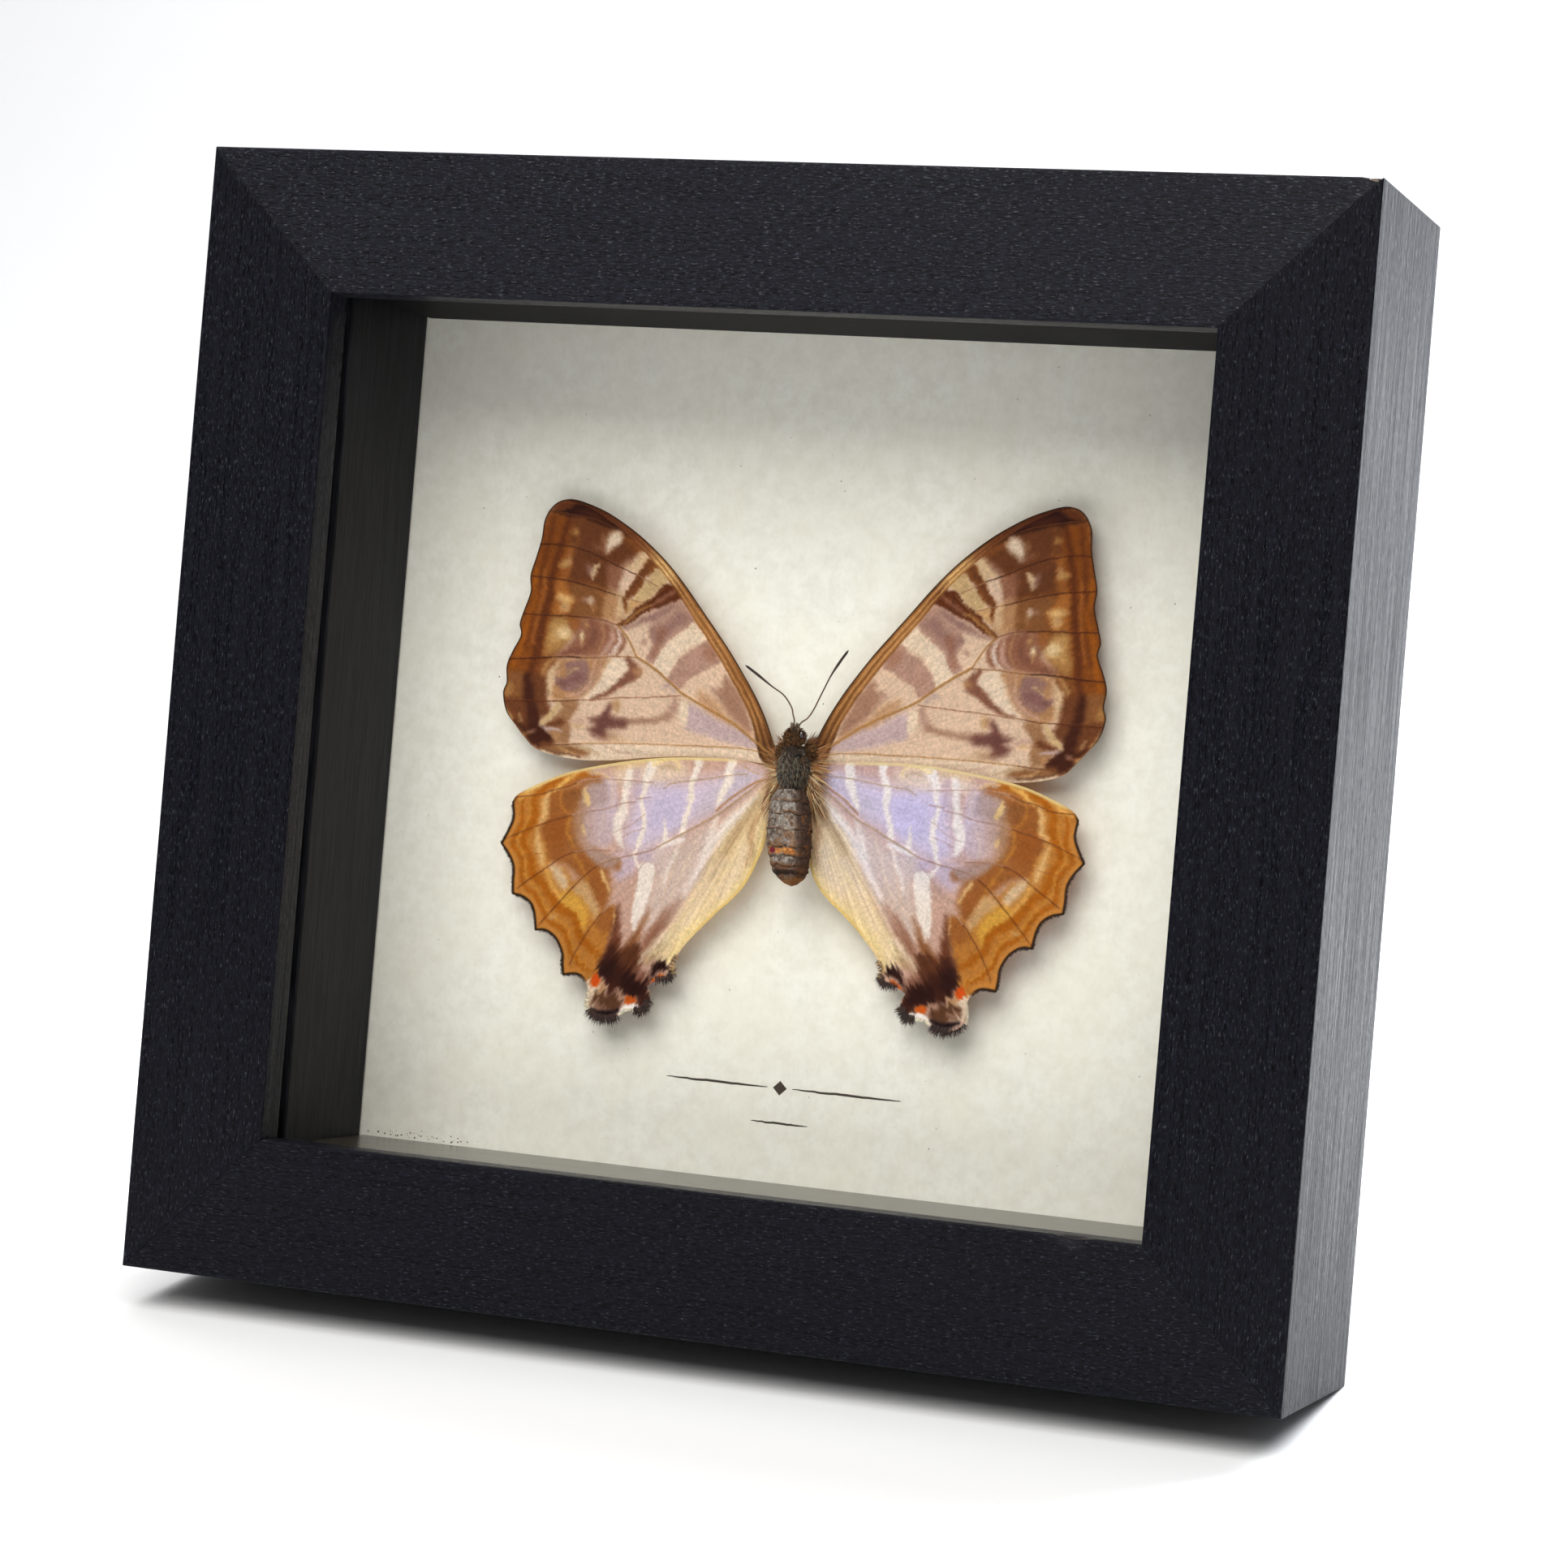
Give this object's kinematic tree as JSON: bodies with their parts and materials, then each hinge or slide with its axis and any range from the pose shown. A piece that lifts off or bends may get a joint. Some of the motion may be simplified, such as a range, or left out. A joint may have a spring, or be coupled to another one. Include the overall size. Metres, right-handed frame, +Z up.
{
  "type": "framed butterfly specimen",
  "caption": "Deep black wooden frame with a spread butterfly, underside showing, on cream paper behind glass; stands on its lower edge or hangs on a wall.",
  "frame": {"origin": "middle of the bottom of the outer box, on the surface that the frame stands on", "axes": "+Z up, -Y out of the glass towards the viewer, +X to the viewer's right"},
  "size_m": [0.16, 0.04, 0.152],
  "materials": {
    "frame_wood": "black-stained fine-grained wood, satin",
    "glass": "clear polished glass",
    "spacer": "black stained wood strip, matte",
    "backing_paper": "cream mottled parchment paper, matte",
    "mount_board": "plain grey board",
    "back_panel": "brown hardboard",
    "steel": "plated steel, lightly brushed",
    "forewing_scales": "scaled wing membrane: brown and orange margin, mauve and cream bands",
    "hindwing_scales": "scaled wing membrane: lavender-blue disc, orange-brown margin, dark tail patch",
    "body_down": "dark grey-brown down over a horny skin",
    "antenna": "thin dark horn",
    "foam": "soft white foam"
  },
  "bodies": {
    "root": {"antenna_left": "antenna", "antenna_right": "antenna", "back_panel": "back_panel", "back_point_bottom_1": "steel", "back_point_bottom_2": "steel", "back_point_left_1": "steel", "back_point_left_2": "steel", "back_point_right_1": "steel", "back_point_right_2": "steel", "back_point_top_1": "steel", "back_point_top_2": "steel", "backing_paper": "backing_paper", "butterfly_abdomen": "body_down", "butterfly_head": "body_down", "butterfly_thorax": "body_down", "forewing_left": "forewing_scales", "forewing_right": "forewing_scales", "glass_pane": "glass", "hanger_nail_1": "steel", "hanger_nail_2": "steel", "hindwing_left": "hindwing_scales", "hindwing_right": "hindwing_scales", "mount_board": "mount_board", "mount_pad": "foam", "rail_bottom": "frame_wood", "rail_left": "frame_wood", "rail_right": "frame_wood", "rail_top": "frame_wood", "sawtooth_hanger": "steel", "spacer_bottom": "spacer", "spacer_left": "spacer", "spacer_right": "spacer", "spacer_top": "spacer"}
  },
  "joints": []
}
